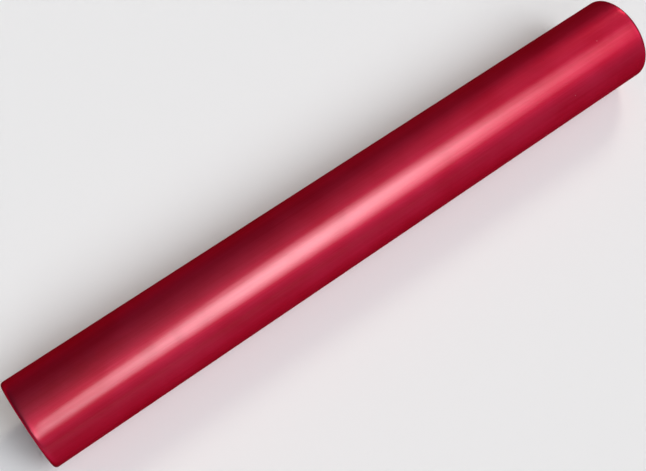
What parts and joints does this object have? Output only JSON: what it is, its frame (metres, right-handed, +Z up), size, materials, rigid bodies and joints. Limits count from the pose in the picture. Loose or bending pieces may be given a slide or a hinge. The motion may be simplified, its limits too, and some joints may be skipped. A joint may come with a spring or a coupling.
{
  "type": "relay baton",
  "caption": "Smooth hollow aluminium tube with rolled-in ends and a satin red dyed finish, passed from hand to hand in a relay race.",
  "frame": {"origin": "on the surface that the baton lies on, under the middle of its length", "axes": "+X along the tube's axis, +Z up from the surface it lies on; both ends are alike"},
  "size_m": [0.3, 0.038, 0.038],
  "materials": {
    "anodised_red": "satin red dyed anodising"
  },
  "bodies": {
    "root": {"baton_tube": "anodised_red"}
  },
  "joints": []
}
